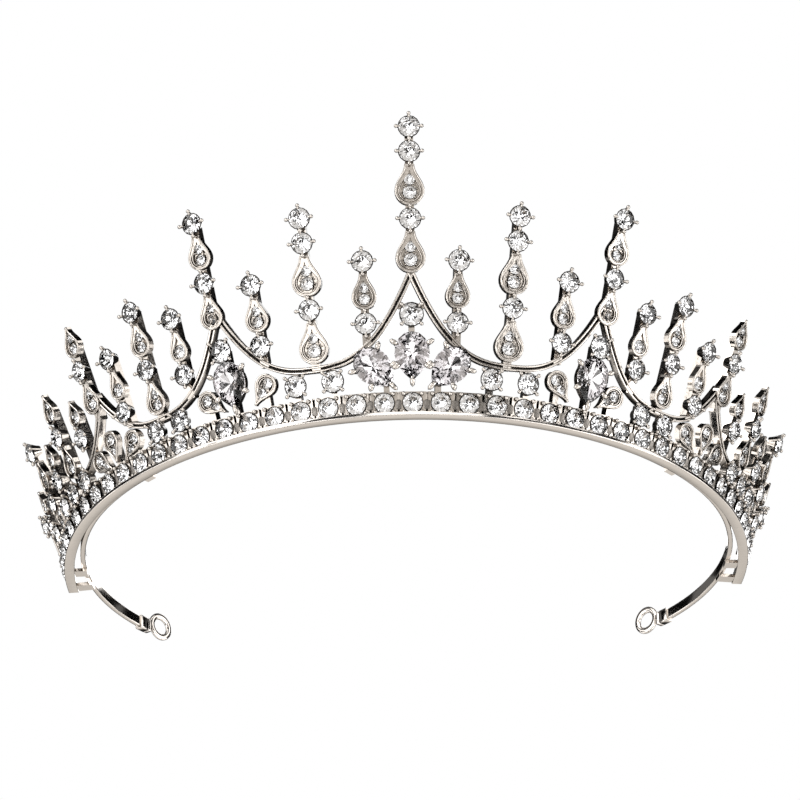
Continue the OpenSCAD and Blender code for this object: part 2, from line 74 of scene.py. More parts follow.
# Places in stones, heights up the face and, for leaves and drops, the lean in degrees
lowLeaves = [[5.2, 6.3, 38], [7.4, 6, -50], [11.15, 4.9, 48], [12.2, 7, 0], [13.1, 4.9, -48], [17.75, 5.2, 0]]
fillers = [[2.75, 5.125], [4.07, 5.125], [8.72, 4.525], [9.85, 4.325],
           [14.4, 4.225], [15.5, 4.225], [16.6, 4.325], [18.75, 4.225]]
drops = {"centre": [0, 9.2, 0], "side": [1.26, 6.92, -43], "peak": [6.42, 8.15, -4]}
tops = [[0, 17.5], [6.55, 15.3], [-6.55, 15.3]]

sinF, cosF = math.sin(math.radians(layout["flare"])), math.cos(math.radians(layout["flare"]))


def toward(a):
    # The flat direction at a turn from the front: sine to the right, cosine forwards
    a = np.radians(a)
    return np.stack([np.sin(a), -np.cos(a)], -1)


templeC = (layout["ringR"] - layout["templeR"]) * toward(layout["templeFrom"])
earC = templeC + (layout["templeR"] - layout["earR"]) * toward(layout["earFrom"])


def turnOf(run):
    # Turn in degrees from the front after a run along the row
    run = np.asarray(run, float)
    front = layout["ringR"] * math.radians(layout["templeFrom"])
    return np.where(
        np.abs(run) <= front, np.degrees(run / layout["ringR"]),
        np.sign(run) * (layout["templeFrom"] + np.degrees((np.abs(run) - front) / layout["templeR"])))


def arcOf(turn, ears=False):
    # Centre and radius of the arc that holds the row, or the headband, at a turn
    turn = np.asarray(turn, float)
    centre = np.zeros(turn.shape + (2,))
    radius = np.full(turn.shape, layout["ringR"])
    temple = np.abs(turn) > layout["templeFrom"]
    flip = np.stack([np.sign(turn), np.ones_like(turn)], -1)
    centre[temple] = (templeC * flip)[temple]
    radius[temple] = layout["templeR"]
    if ears:
        ear = np.abs(turn) > layout["earFrom"]
        centre[ear] = (earC * flip)[ear]
        radius[ear] = layout["earR"]
    return centre, radius


def crownPoints(run, up, out):
    # Points of the crown's leaning face, from run along the row, height up the face and depth outwards
    turn = turnOf(run)
    centre, radius = arcOf(turn)
    r = radius + up * sinF + out * cosF
    flat = centre + r[..., None] * toward(turn)
    return np.stack([flat[..., 0], flat[..., 1] + layout["ringY"], layout["rowZ"] + up * cosF - out * sinF], -1)


def crownFrame(place, up, spin=0.0):
    # Origin and axes (along, up, out) at a place of the crown, spun about the outward axis
    run = place * layout["pitch"]
    turn = float(turnOf(run))
    a = math.radians(turn)
    along = np.array([math.cos(a), math.sin(a), 0])
    outFlat = np.array([math.sin(a), -math.cos(a), 0])
    rise = np.array([0, 0, cosF]) + outFlat * sinF
    out = outFlat * cosF - np.array([0, 0, sinF])
    origin = crownPoints(np.array(run), np.array(up), np.array(0.0))
    s, c = math.sin(math.radians(spin)), math.cos(math.radians(spin))
    return origin, np.stack([c * along + s * rise, -s * along + c * rise, out], 0)


def stackHeights(spire):
    # Each setting sits above the one below by the reach of both
    heights, kinds = [spire[1]], spire[2]
    for below, above in zip(kinds, kinds[1:]):
        heights.append(heights[-1] + halfReach[below][1] + halfReach[above][0])
    return heights


def allSettings(wanted):
    # Every (kind, origin, axes) of the wanted kinds, in spires and under swags
    found = []
    for spire in spires:
        ways = (1,) if spire[0] == 0 else (-1, 1)
        for way in ways:
            for kind, up in zip(spire[2], stackHeights(spire)):
                if kind in wanted:
                    found.append((kind, *crownFrame(way * spire[0], up)))
    if "M" in wanted:
        for place, up, lean in lowLeaves:
            for way in (-1, 1):
                found.append(("M", *crownFrame(way * place, up, 180 + way * lean)))
    return found


def makePiece(name, points, faces, finish, smooth=True, sharp=None, picks=None):
    # A piece from points in millimetres and faces of 3, 4 or mixed corners
    mesh = bpy.data.meshes.new(name)
    corners = faces if isinstance(faces, list) else faces.tolist()
    mesh.from_pydata((np.asarray(points, float) * 0.001).tolist(), [], corners)
    mesh.polygons.foreach_set("use_smooth", np.full(len(mesh.polygons), smooth))
    for m in finish if isinstance(finish, (list, tuple)) else [finish]:
        mesh.materials.append(m)
    if picks is not None:
        mesh.polygons.foreach_set("material_index", np.asarray(picks, np.int32))
    mesh.update()
    if sharp is not None:
        mesh.set_sharp_from_angle(angle=math.radians(sharp))
    piece = bpy.data.objects.new(name, mesh)
    bpy.context.scene.collection.objects.link(piece)
    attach(piece, "root")
    print("piece", name, len(mesh.polygons), "faces")
    return piece


def tubeFaces(rows, around, closedPath=False):
    # Quads between rings of points, ring after ring
    last = rows if closedPath else rows - 1
    i, j = np.meshgrid(np.arange(last), np.arange(around), indexing="ij")
    nextRow, nextPoint = (i + 1) % rows, (j + 1) % around
    quads = [i * around + j, i * around + nextPoint, nextRow * around + nextPoint, nextRow * around + j]
    return np.stack(quads, -1).reshape(-1, 4)


def capFaces(rows, around):
    # One face over the first ring, turned round, and one over the last
    return [list(range(around))[::-1], list(range((rows - 1) * around, rows * around))]


def sweepRing(profile, turns, ears):
    # A closed profile of (distance from the row, height) carried through turns, as rings of points
    centre, radius = arcOf(turns, ears)
    r = radius[:, None] + profile[None, :, 0]
    flat = centre[:, None, :] + r[..., None] * toward(turns)[:, None, :]
    z = np.broadcast_to(profile[None, :, 1], r.shape)
    return np.stack([flat[..., 0], flat[..., 1] + layout["ringY"], z], -1).reshape(-1, 3)


def softCorners(corners, radius, steps=4):
    # Each corner becomes a curve (1-t)^2 a + 2t(1-t) corner + t^2 b, between points a and b at radius away
    corners = np.asarray(corners, float)
    before, after = np.roll(corners, 1, 0), np.roll(corners, -1, 0)
    toBefore, toAfter = before - corners, after - corners
    lengthBefore, lengthAfter = np.linalg.norm(toBefore, axis=1), np.linalg.norm(toAfter, axis=1)
    cut = np.minimum(radius, 0.45 * np.minimum(lengthBefore, lengthAfter))  # never past the middle of a side
    a = corners + toBefore / lengthBefore[:, None] * cut[:, None]
    b = corners + toAfter / lengthAfter[:, None] * cut[:, None]
    t = np.linspace(0, 1, steps + 1)[None, :, None]
    return ((1 - t) ** 2 * a[:, None] + 2 * t * (1 - t) * corners[:, None] + t ** 2 * b[:, None]).reshape(-1, 2)


def copies(shape, faces, spots):
    # One shape repeated at spots of (origin, axes, scale): points = origin + scale * shape in the spot's axes
    origins = np.array([s[0] for s in spots])
    axes = np.array([s[1] for s in spots])
    scales = np.array([s[2] for s in spots])
    points = origins[:, None] + np.einsum("vk,nkx->nvx", shape, axes) * scales[:, None, None]
    count = len(shape)
    allFaces = [[v + n * count for v in face] for n in range(len(spots)) for face in faces]
    return points.reshape(-1, 3), allFaces


castLook = {"detail": 3.0, "bumpDepth": 0.0002, "creviceReach": 0.0006, "creviceRays": 4,
            "closed": 0.35, "open": 0.85}


def setRange(node, low, high, side="From"):
    # The low and high ends that a Map Range node reads, or puts out with side "To"
    node.inputs[side + " Min"].default_value = low
    node.inputs[side + " Max"].default_value = high


def metalGroup(look):
    # Fine cast unevenness: a noise gives a small bump and varies the polish, and crevices take a darker colour,
    # painted shade laid in by an ambient occlusion mask
    group = bpy.data.node_groups.new("castMetal", "ShaderNodeTree")
    for title, kind, value in (("Scale", "NodeSocketFloat", 900.0), ("Relief", "NodeSocketFloat", 0.1),
                               ("Polish", "NodeSocketFloat", 0.1), ("Spread", "NodeSocketFloat", 0.08)):
        socket = group.interface.new_socket(name=title, in_out="INPUT", socket_type=kind)
        socket.default_value = value
    for title in ("Metal", "CreviceShade"):
        group.interface.new_socket(name=title, in_out="INPUT", socket_type="NodeSocketColor")
    group.interface.new_socket(name="Colour", in_out="OUTPUT", socket_type="NodeSocketColor")
    group.interface.new_socket(name="Roughness", in_out="OUTPUT", socket_type="NodeSocketFloat")
    group.interface.new_socket(name="Normal", in_out="OUTPUT", socket_type="NodeSocketVector")
    n, l = group.nodes, group.links
    source, sink = n.new("NodeGroupInput"), n.new("NodeGroupOutput")
    place = n.new("ShaderNodeTexCoord")
    noise = n.new("ShaderNodeTexNoise")
    noise.inputs["Detail"].default_value = look["detail"]
    bump = n.new("ShaderNodeBump")
    bump.inputs["Distance"].default_value = look["bumpDepth"]
    spread = n.new("ShaderNodeMath")
    spread.operation = "MULTIPLY_ADD"
    # Painted shade: ambient occlusion mixes the darker colour into crevices
    crevice, openness = n.new("ShaderNodeAmbientOcclusion"), n.new("ShaderNodeMapRange")
    shade = n.new("ShaderNodeMix")
    crevice.samples = look["creviceRays"]
    crevice.inputs["Distance"].default_value = look["creviceReach"]
    setRange(openness, look["closed"], look["open"])
    shade.data_type = "RGBA"
    l.new(crevice.outputs["AO"], openness.inputs["Value"])
    l.new(openness.outputs["Result"], shade.inputs["Factor"])
    l.new(source.outputs["CreviceShade"], shade.inputs["A"])
    l.new(source.outputs["Metal"], shade.inputs["B"])
    l.new(shade.outputs["Result"], sink.inputs["Colour"])
    l.new(place.outputs["Object"], noise.inputs["Vector"])
    l.new(source.outputs["Scale"], noise.inputs["Scale"])
    l.new(noise.outputs["Fac"], bump.inputs["Height"])
    l.new(source.outputs["Relief"], bump.inputs["Strength"])
    l.new(noise.outputs["Fac"], spread.inputs[0])
    l.new(source.outputs["Spread"], spread.inputs[1])
    l.new(source.outputs["Polish"], spread.inputs[2])
    l.new(spread.outputs["Value"], sink.inputs["Roughness"])
    l.new(bump.outputs["Normal"], sink.inputs["Normal"])
    return group


castMetal = metalGroup(castLook)


def metal(name, look):
    # The cast metal group, mixed to a dark edge colour where the surface turns away from the eye, a painted
    # shade at grazing edges
    finish = bpy.data.materials.new(name)
    finish.use_nodes = True
    n, l = finish.node_tree.nodes, finish.node_tree.links
    shader = n["Principled BSDF"]
    shader.inputs["Metallic"].default_value = 1.0
    surface = n.new("ShaderNodeGroup")
    surface.node_tree = castMetal
    for key in ("Scale", "Relief", "Polish", "Spread"):
        surface.inputs[key].default_value = look[key.lower()]
    surface.inputs["Metal"].default_value = (*look["colour"], 1)
    surface.inputs["CreviceShade"].default_value = (*look["creviceShade"], 1)
    facing, turnedAway = n.new("ShaderNodeLayerWeight"), n.new("ShaderNodeMapRange")
    edges = n.new("ShaderNodeMix")
    facing.inputs["Blend"].default_value = 0.5
    setRange(turnedAway, look["edgeFrom"], look["edgeTo"])
    edges.data_type = "RGBA"
    edges.inputs["B"].default_value = (*look["edge"], 1)
    l.new(facing.outputs["Facing"], turnedAway.inputs["Value"])
    l.new(turnedAway.outputs["Result"], edges.inputs["Factor"])
    l.new(surface.outputs["Colour"], edges.inputs["A"])
    l.new(edges.outputs["Result"], shader.inputs["Base Color"])
    l.new(surface.outputs["Roughness"], shader.inputs["Roughness"])
    l.new(surface.outputs["Normal"], shader.inputs["Normal"])
    return finish


def clearStone(name, look):
    # Clear glass whose tint drifts between a cool and a warm white with a noise
    finish = bpy.data.materials.new(name)
    finish.use_nodes = True
    n, l = finish.node_tree.nodes, finish.node_tree.links
    shader = n["Principled BSDF"]
    shader.inputs["Transmission Weight"].default_value = 1.0
    shader.inputs["IOR"].default_value = look["ior"]
    shader.inputs["Roughness"].default_value = look["roughness"]
    place, noise = n.new("ShaderNodeTexCoord"), n.new("ShaderNodeTexNoise")
    ramp = n.new("ShaderNodeValToRGB")
    noise.inputs["Scale"].default_value = look["drift"]
    ramp.color_ramp.elements[0].color = (*look["cool"], 1)
    ramp.color_ramp.elements[1].color = (*look["warm"], 1)
    l.new(place.outputs["Object"], noise.inputs["Vector"])
    l.new(noise.outputs["Fac"], ramp.inputs["Fac"])
    l.new(ramp.outputs["Color"], shader.inputs["Base Color"])
    return finish


# The second colour of each look is painted shade, which the ambient occlusion mask lays into crevices; the edge
# colour is painted shade at grazing edges
metalLooks = {
    "crownMetal": {"colour": (0.7, 0.65, 0.6), "creviceShade": (0.36, 0.32, 0.28),
                   "scale": 1100.0, "relief": 0.14, "polish": 0.08, "spread": 0.1,
                   "edge": (0.03, 0.026, 0.022), "edgeFrom": 0.27, "edgeTo": 0.58},
    "bandMetal": {"colour": (0.86, 0.81, 0.76), "creviceShade": (0.4, 0.36, 0.32),
                  "scale": 420.0, "relief": 0.05, "polish": 0.08, "spread": 0.08,
                  "edge": (0.1, 0.09, 0.08), "edgeFrom": 0.72, "edgeTo": 0.95},
    "recessMetal": {"colour": (0.66, 0.61, 0.55), "creviceShade": (0.14, 0.12, 0.1),
                    "scale": 2600.0, "relief": 0.5, "polish": 0.16, "spread": 0.2,
                    "edge": (0.04, 0.035, 0.03), "edgeFrom": 0.4, "edgeTo": 0.75},
    "foilMetal": {"colour": (0.95, 0.95, 0.955), "creviceShade": (0.95, 0.95, 0.955),
                  "scale": 500.0, "relief": 0.0, "polish": 0.02, "spread": 0.0,
                  "edge": (0.9, 0.9, 0.9), "edgeFrom": 0.8, "edgeTo": 1.0},
    "softFoil": {"colour": (0.74, 0.725, 0.735), "creviceShade": (0.7, 0.69, 0.7),
                 "scale": 500.0, "relief": 0.0, "polish": 0.05, "spread": 0.0,
                 "edge": (0.8, 0.78, 0.79), "edgeFrom": 0.7, "edgeTo": 1.0},
    "seatShadow": {"colour": (0.05, 0.045, 0.04), "creviceShade": (0.02, 0.018, 0.016),
                   "scale": 2600.0, "relief": 0.2, "polish": 0.35, "spread": 0.2,
                   "edge": (0.02, 0.018, 0.016), "edgeFrom": 0.4, "edgeTo": 0.9},
    "sunkShadeMetal": {"colour": (0.26, 0.24, 0.22), "creviceShade": (0.1, 0.09, 0.08),
                  "scale": 1500.0, "relief": 0.3, "polish": 0.3, "spread": 0.2,
                  "edge": (0.03, 0.026, 0.022), "edgeFrom": 0.4, "edgeTo": 0.8},
}
crownMetal, bandMetal, recessMetal, foilMetal, softFoil, seatShadow, sunkShadeMetal = (
    metal(name, look) for name, look in metalLooks.items())
crystal = clearStone("crystal", {"ior": 1.55, "roughness": 0.0, "drift": 300.0,
                                 "cool": (0.975, 0.985, 1.0), "warm": (1.0, 1.0, 1.0)})
zircon = clearStone("zircon", {"ior": 1.5, "roughness": 0.0, "drift": 300.0,
                               "cool": (0.98, 0.975, 0.985), "warm": (1.0, 1.0, 1.0)})

bandNodes = ("headband", "rail_plate", "band_lugs", "end_loop_left", "end_loop_right")
for name, piece in nodes.items():
    finish = bandMetal if name in bandNodes else crownMetal
    piece.data.materials.clear()
    piece.data.materials.append(finish)
print("materials ready")

# A round stone with a girdle of diameter 1, and how much each copy of it may lean
roundCut = {"tableR": 0.29, "starR": 0.39, "tableUp": 0.15, "girdleUp": 0.02, "girdleLow": -0.03,
            "culet": -0.42, "lowR": 0.13, "seatR": 0.55, "seatIn": 0.01, "lean": 0.035, "seed": 7}


def ringOf(radius, count, up, start=0.0):
    # Points at even angles on a circle, from a start angle
    a = np.radians(start + 360.0 * np.arange(count) / count)
    return np.stack([radius * np.cos(a), radius * np.sin(a), np.full(count, up)], 1)


def roundBrilliant(cut):
    # Table, 8 stars, 8 kites and 16 upper facets; girdle; 16 lower facets and 8 kites to the point; and a
    # thin ring out to seatR, which stands for the shadow of the stone's seat
    girdleR, between = 0.5, 22.5  # half the diameter, and half the angle between two of the 8 kites
    starUp = cut["tableUp"] - (cut["tableUp"] - cut["girdleUp"]) * (
        cut["starR"] * math.cos(math.pi / 8) - cut["tableR"]) / (girdleR - cut["tableR"])
    lowUp = cut["culet"] + (cut["girdleLow"] - cut["culet"]) * cut["lowR"] * math.cos(math.pi / 8) / girdleR
    shape = np.concatenate([
        ringOf(cut["tableR"], 8, cut["tableUp"]), ringOf(cut["starR"], 8, starUp, between),
        ringOf(girdleR, 16, cut["girdleUp"]), ringOf(girdleR, 16, cut["girdleLow"]),
        ringOf(cut["lowR"], 8, lowUp, between), [[0, 0, cut["culet"]]],
        ringOf(cut["seatR"], 16, cut["girdleLow"] - cut["seatIn"])])
    table, star, top, low, inner, tip, seat = 0, 8, 16, 32, 48, 56, 57
    faces = [list(range(8))]
    picks = [0]
    for k in range(8):
        nextK, before = (k + 1) % 8, (k - 1) % 8
        g, gMid, gNext = 2 * k, 2 * k + 1, (2 * k + 2) % 16
        faces += [[table + k, star + k, table + nextK], [table + k, star + before, top + g, star + k],
                  [star + k, top + g, top + gMid], [star + k, top + gMid, top + gNext],
                  [top + g, low + g, low + gMid, top + gMid],
                  [top + gMid, low + gMid, low + gNext, top + gNext]]
        picks += [0] * 6
        faces += [[low + g, inner + before, tip, inner + k], [low + g, inner + k, low + gMid],
                  [low + gMid, inner + k, low + gNext]]
        picks += [1] * 3
        faces += [[low + g, seat + g, seat + gMid, low + gMid],
                  [low + gMid, seat + gMid, seat + gNext, low + gNext]]
        picks += [2] * 2
    return shape, faces, picks


brilliant, brilliantFaces, brilliantPicks = roundBrilliant(roundCut)
chance = np.random.default_rng(roundCut["seed"])


def setStones(name, spots, replaced, finish=crystal):
    # Round stones at spots of (origin, axes, diameter), each turned by its own amount about the outward axis
    placed = []
    for origin, axes, size in spots:
        a = chance.uniform(0, math.pi / 4)
        tilt = chance.uniform(-roundCut["lean"], roundCut["lean"], 2)
        spin = np.array([[math.cos(a), math.sin(a), 0], [-math.sin(a), math.cos(a), 0], [0, 0, 1.0]])
        lean = np.array([[1, 0, tilt[0]], [0, 1, tilt[1]], [-tilt[0], -tilt[1], 1.0]])
        lean /= np.linalg.norm(lean, axis=1)[:, None]
        placed.append((origin, spin @ lean @ axes, size))
    points, faces = copies(brilliant, brilliantFaces, placed)
    piece = makePiece(name, points, faces, [finish, foilMetal, seatShadow], smooth=False,
                      picks=brilliantPicks * len(spots))
    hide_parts(*replaced)
    return piece


railSpots = [(*crownFrame(i, 0), stoneSizes["rail"])
             for i in range(-layout["sideStones"], layout["sideStones"] + 1)]
setStones("railStones", railSpots, ["rail_stones"])
spireSpots = [(origin, axes, stoneSizes["spire"]) for kind, origin, axes in allSettings("R")]
setStones("spireStones", spireSpots, ["spire_round_stones"])
fillerSpots = [(*crownFrame(way * place, up), stoneSizes["filler"])
               for place, up in fillers for way in (-1, 1)]
setStones("fillerStones", fillerSpots, ["filler_stones"])
topSpots = [(*crownFrame(place, up), stoneSizes["top"]) for place, up in tops]
setStones("topStones", topSpots, ["top_round_stones"])
leafSpots = allSettings("PQqMm")
smallSpots = {large: [], small: []}
for kind, origin, axes in leafSpots:
    for up, size in leafStones[kind]:
        at = origin + up * axes[1] + (layout["leafFront"] - layout["leafStoneIn"]) * axes[2]
        smallSpots[size].append((at, axes, size))
setStones("leafStonesLarge", smallSpots[large], ["pave_stones_large"])
setStones("leafStonesSmall", smallSpots[small], ["pave_stones_small"])

dropCut = {"width": 7.0, "length": 9.8, "round": 4.2, "roundShare": 0.46, "count": 16, "table": 0.5,
           "tableUp": 0.92, "star": 0.76, "starUp": 0.62, "girdle": 0.13, "low": 0.5, "lowUp": -1.0,
           "culet": -1.7, "culetIn": 0.3}


def dropRing(cut, scale, up, shift):
    # Points round the drop: half an ellipse at the round end, and sides w/2 * (1 - v^2) to the point
    count = cut["count"]
    t = ((np.arange(count) + shift) / count * 2) % 2
    side = np.where(t <= 1, 1.0, -1.0)
    u = np.where(t <= 1, t, 2 - t)
    half, split = cut["width"] / 2, cut["roundShare"]
    a = np.clip(u / split, 0, 1) * math.pi / 2
    v = np.clip((u - split) / (1 - split), 0, 1)
    x = np.where(u <= split, half * np.sin(a), half * (1 - v * v))
    y = np.where(u <= split, cut["round"] * np.cos(a), -(cut["length"] - cut["round"]) * v)
    middle = cut["length"] / 2 - cut["round"]
    return np.stack([side * x * scale, y * scale + middle, np.full(count, up)], 1)


def dropBrilliant(cut):
    # Rings for the table, stars, girdle and lower kites, each a scaled outline, and a point below
    n = cut["count"]
    half = n // 2
    table = dropRing(cut, cut["table"], cut["tableUp"], 0)[::2]
    star = dropRing(cut, cut["star"], cut["starUp"], 1)[::2]
    top, low = dropRing(cut, 1.0, cut["girdle"], 0), dropRing(cut, 1.0, -cut["girdle"], 0)
    inner = dropRing(cut, cut["low"], cut["lowUp"], 1)[::2]
    point = [0, cut["length"] / 2 - cut["round"] - cut["culetIn"], cut["culet"]]
    shape = np.concatenate([table, star, top, low, inner, [point]])
    s, t, b, i, tip = half, 2 * half, 2 * half + n, 2 * half + 2 * n, 3 * half + 2 * n
    faces, picks = [list(range(half))[::-1]], [0]
    for k in range(half):
        nextK, before = (k + 1) % half, (k - 1) % half
        g, mid, gNext = 2 * k, 2 * k + 1, (2 * k + 2) % n
        crown = [[k, nextK, s + k], [k, s + k, t + g], [k, t + g, s + before],
                 [s + k, t + mid, t + g], [s + k, t + gNext, t + mid],
                 [t + g, t + mid, b + mid, b + g], [t + mid, t + gNext, b + gNext, b + mid]]
        pavilion = [[b + g, i + k, tip], [b + g, tip, i + before],
                    [b + g, b + mid, i + k], [b + mid, b + gNext, i + k]]
        faces += crown + pavilion
        picks += [0] * len(crown) + [1] * len(pavilion)
    return shape, faces, picks


dropShape, dropFaces, dropPicks = dropBrilliant(dropCut)


def mirrored(place, up, lean):
    # A place on the left and the same on the right
    return [[way * place, up, way * lean] for way in (-1, 1)]


def setDrops(name, places, replaced):
    # The drop stone repeated at places of the crown, each with its own lean
    spots = [(*crownFrame(place, up, lean), 1.0) for place, up, lean in places]
    points, faces = copies(dropShape, dropFaces, spots)
    piece = makePiece(name, points, faces, [zircon, softFoil], smooth=False, picks=dropPicks * len(spots))
    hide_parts(replaced)


sideDrops, peakDrops = mirrored(*drops["side"]), mirrored(*drops["peak"])
setDrops("centreDrop", [drops["centre"]], "centre_drop_stone")
setDrops("sideDrops", sideDrops, "side_drop_stones")
setDrops("peakDrops", peakDrops, "peak_drop_stones")
print("stones set")

beadLook = {"around": 7, "rings": 4, "downTo": 115}


def smallBead(look):
    # A low ball without its underside: rings of points at even angles from the top down past the middle
    down = np.radians(np.linspace(0, look["downTo"], look["rings"] + 1)[1:])
    a = 2 * math.pi * np.arange(look["around"]) / look["around"]
    rings = [np.stack([math.sin(d) * np.cos(a), math.sin(d) * np.sin(a), np.full(len(a), math.cos(d))], 1)
             for d in down]
    shape = np.concatenate([[[0, 0, 1.0]], *rings])
    n = look["around"]
    faces = [[0, 1 + k, 1 + (k + 1) % n] for k in range(n)]
    faces += [[1 + r * n + k, 1 + (r + 1) * n + k, 1 + (r + 1) * n + (k + 1) % n, 1 + r * n + (k + 1) % n]
              for r in range(look["rings"] - 1) for k in range(n)]
    return shape, faces


beadShape, beadFaces = smallBead(beadLook)


def beads(name, spots, finish=crownMetal):
    # Beads at spots of (origin, axes, (half length, half width, height))
    sized = [(origin, np.diag(size) @ axes, 1.0) for origin, axes, size in spots]
    points, faces = copies(beadShape, beadFaces, sized)
    piece = makePiece(name, points, faces, finish)
    return piece


def turned(axes, degrees):
    # Axes turned about their own outward axis
    s, c = math.sin(math.radians(degrees)), math.cos(math.radians(degrees))
    return np.array([[c, s, 0], [-s, c, 0], [0, 0, 1.0]]) @ axes


clawLook = {"length": 0.46, "width": 0.25, "height": 0.26, "in": 0.1, "up": 0.22}


def clawSpots(spots, start):
    # Rounded claw ends that bend over a stone's girdle, four round each stone
    found = []
    for origin, axes, size in spots:
        for k in range(4):
            own = turned(axes, start + 90 * k)
            at = origin + (size / 2 + clawLook["in"]) * own[0] + clawLook["up"] * own[2]
            found.append((at, own, (clawLook["length"], clawLook["width"], clawLook["height"])))
    return found


beads("roundClaws", clawSpots(spireSpots, 0) + clawSpots(fillerSpots + topSpots, 45))

# Four claws along a drop's sides and a longer one over its tip: place, height, turn and half length of each
dropClawLook = {"width": 0.56, "height": 0.5, "up": 0.4,
                "claws": ((-3.6, 2.75, 150, 0.95), (3.6, 2.75, 30, 0.95), (-3.15, -2.1, 205, 0.95),
                          (3.15, -2.1, -25, 0.95), (0, -5.0, -90, 1.2))}
dropClaws = []
for place, up, lean in [drops["centre"]] + sideDrops + peakDrops:
    origin, axes = crownFrame(place, up, lean)
    for x, y, turn, length in dropClawLook["claws"]:
        own = turned(axes, turn)
        at = origin + x * axes[0] + y * axes[1] + dropClawLook["up"] * own[2]
        dropClaws.append((at, own, (length, dropClawLook["width"], dropClawLook["height"])))
beads("dropClaws", dropClaws)


def leafOutline(b, n, tall, steps=14):
    # Round below with radius b; above, half width n + (b - n)(0.5 + 0.5 cos) draws in to the neck
    low = np.radians(np.linspace(-180, 0, steps + 1)[1:-1])
    u = np.linspace(0, 1, steps + 1)
    side = np.stack([n + (b - n) * (0.5 + 0.5 * np.cos(math.pi * u)), tall * u], 1)
    other = side[::-1] * (-1, 1)
    bowl = np.stack([b * np.cos(low), b * np.sin(low)], 1)
    return np.concatenate([bowl, side, other]) + (0, -layout["leafDrop"])


def outlineTube(outline, halfWidth, height, up, around):
    # A closed wire along a flat outline: at each point an ellipse of the wire's half width and height
    along = np.roll(outline, -1, 0) - np.roll(outline, 1, 0)
    along /= np.linalg.norm(along, axis=1)[:, None]
    across = np.stack([along[:, 1], -along[:, 0]], 1)
    a = 2 * math.pi * np.arange(around) / around
    flat = outline[:, None] + across[:, None] * (halfWidth * np.cos(a))[None, :, None]
    z = np.broadcast_to(up + height * np.sin(a), flat.shape[:2])
    return np.concatenate([flat, z[..., None]], -1).reshape(-1, 3)


leafLook = {"rim": 0.2, "rimUp": 0.24, "neck": 0.1, "tipIn": 0.15, "inner": 0.82, "innerW": 0.15,
            "innerUp": 0.2, "innerDrop": 0.36, "innerNeck": 0.26, "innerTipIn": 0.95, "around": 8}


def leafWires(kinds, look):
    # An outer wire on each leaf's rim and a thinner one inside it and further back
    points, faces, count = [], [], 0
    front, around = layout["leafFront"], look["around"]
    for kind, origin, axes in kinds:
        b, n = leafSize[kind]
        tall = halfReach[kind][1] + layout["leafDrop"]
        rim = leafOutline(b - look["rim"], max(n - look["rim"], look["neck"]), tall - look["tipIn"])
        inside = leafOutline(b - look["inner"], max(n - look["inner"], look["innerNeck"]),
                             tall - look["innerTipIn"])
        for wire in (outlineTube(rim, look["rim"], look["rimUp"], front, around),
                     outlineTube(inside, look["innerW"], look["innerUp"], front - look["innerDrop"], around)):
            points.append(origin + wire @ axes)
            faces.append(tubeFaces(len(wire) // around, around, closedPath=True)[:, ::-1] + count)
            count += len(wire)
    return np.concatenate(points), np.concatenate(faces)


points, faces = leafWires(leafSpots, leafLook)
leafRims = makePiece("leafRims", points, faces, crownMetal)


grainLook = {"size": 0.22, "least": 0.75, "most": 1.15, "step": 0.5, "rowStep": 0.87, "reach": 3,
             "clear": 0.12, "rimClear": 0.55, "draw": 0.7, "tipIn": 1.3, "in": 0.72, "uneven": 0.12,
             "seed": 11}
prongLook = {"size": 0.18, "long": 1.15, "out": 0.12, "in": 0.1}


def grainRoom(y, b, tall, look):
    # Half the floor's width at a height: a circle below; above, a cosine that draws in to nothing
    if y < 0:
        return b * math.sqrt(max(0, 1 - (y / b) ** 2))
    rise = np.clip(y / (tall - look["tipIn"]), 0, 1)
    return (b - look["draw"]) * (0.5 + 0.5 * math.cos(math.pi * rise))


def leafGrains(kinds, look):
    # Beads in staggered rows over each leaf's floor, wherever there is no stone
    grains, jitter, drop = [], np.random.default_rng(look["seed"]), layout["leafDrop"]
    across = np.arange(-look["reach"], look["reach"] + 0.01, look["step"])
    for kind, origin, axes in kinds:
        b = leafSize[kind][0]
        tall = halfReach[kind][1] + drop
        for row, y in enumerate(np.arange(-b, tall, look["step"] * look["rowStep"])):
            room = grainRoom(y, b, tall, look) - look["rimClear"]
            for x in across + (row % 2) * look["step"] / 2:
                inStone = any(math.hypot(x, y - drop - up) < size / 2 + look["clear"]
                              for up, size in leafStones[kind])
                if abs(x) > room or inStone:
                    continue
                r = look["size"] * jitter.uniform(look["least"], look["most"])
                depth = layout["leafFront"] - look["in"] + jitter.uniform(0, look["uneven"])
                at = origin + x * axes[0] + (y - drop) * axes[1] + depth * axes[2]
                grains.append((at, axes, (r, r, r)))
    return grains


def leafProngs(kinds, look):
    # Four prongs round each of a leaf's stones
    prongs, r, depth = [], look["size"], layout["leafFront"] - look["in"]
    for kind, origin, axes in kinds:
        for up, size in leafStones[kind]:
            for k in range(4):
                own = turned(axes, 45 + 90 * k)
                at = origin + up * axes[1] + (size / 2 + look["out"]) * own[0] + depth * own[2]
                prongs.append((at, own, (r * look["long"], r, r)))
    return prongs


# The grain's recess metal is a little darker than the crown metal, with darker crevices: painted shade on the
# leaf floors
beads("leafGrain", leafGrains(leafSpots, grainLook), recessMetal)
beads("leafProngs", leafProngs(leafSpots, prongLook))

# The profile's points from grooveFrom to grooveTo are the groove's
swagLook = {"width": 1.3, "front": -0.8, "groove": 0.45, "grooveWide": 0.15, "grooveFoot": 0.7, "soft": 0.24,
            "grooveFrom": 19, "grooveTo": 29, "crowd": 0.7, "steps": 80}


def drape(u):
    # A swag's rise from its low point, 0.8u^3 + 0.2u^2
    return 0.8 * u ** 3 + 0.2 * u ** 2


